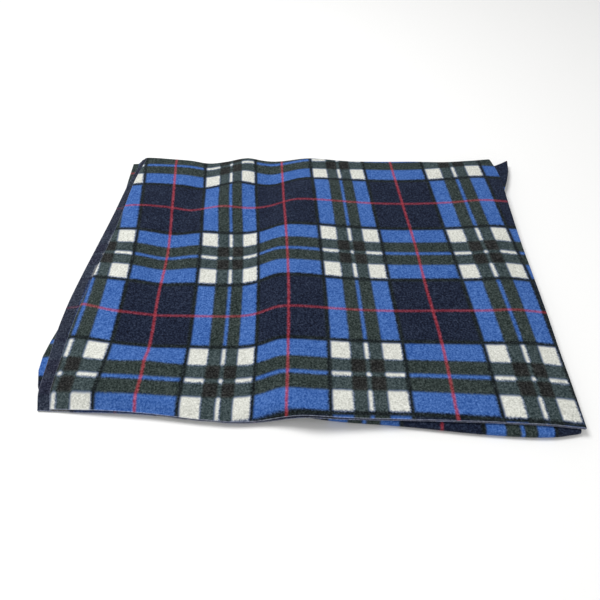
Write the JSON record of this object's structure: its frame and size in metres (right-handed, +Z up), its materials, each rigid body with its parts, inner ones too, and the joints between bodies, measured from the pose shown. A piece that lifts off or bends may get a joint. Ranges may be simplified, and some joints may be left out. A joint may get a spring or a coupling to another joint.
{
  "type": "folded fleece blanket",
  "caption": "Plaid fleece blanket doubled across its width and folded in three, lying flat with soft waves in its upper layers and uneven edges.",
  "frame": {"origin": "middle of the folded blanket's outline, on the surface it lies on", "axes": "+X to the right, towards the fold of the doubled width; +Y from the front hem to the back fold; +Z up"},
  "size_m": [0.6602, 0.504, 0.0351],
  "materials": {
    "fleece": "matt brushed pile, printed check"
  },
  "bodies": {
    "root": {"blanket": "fleece"}
  },
  "joints": []
}
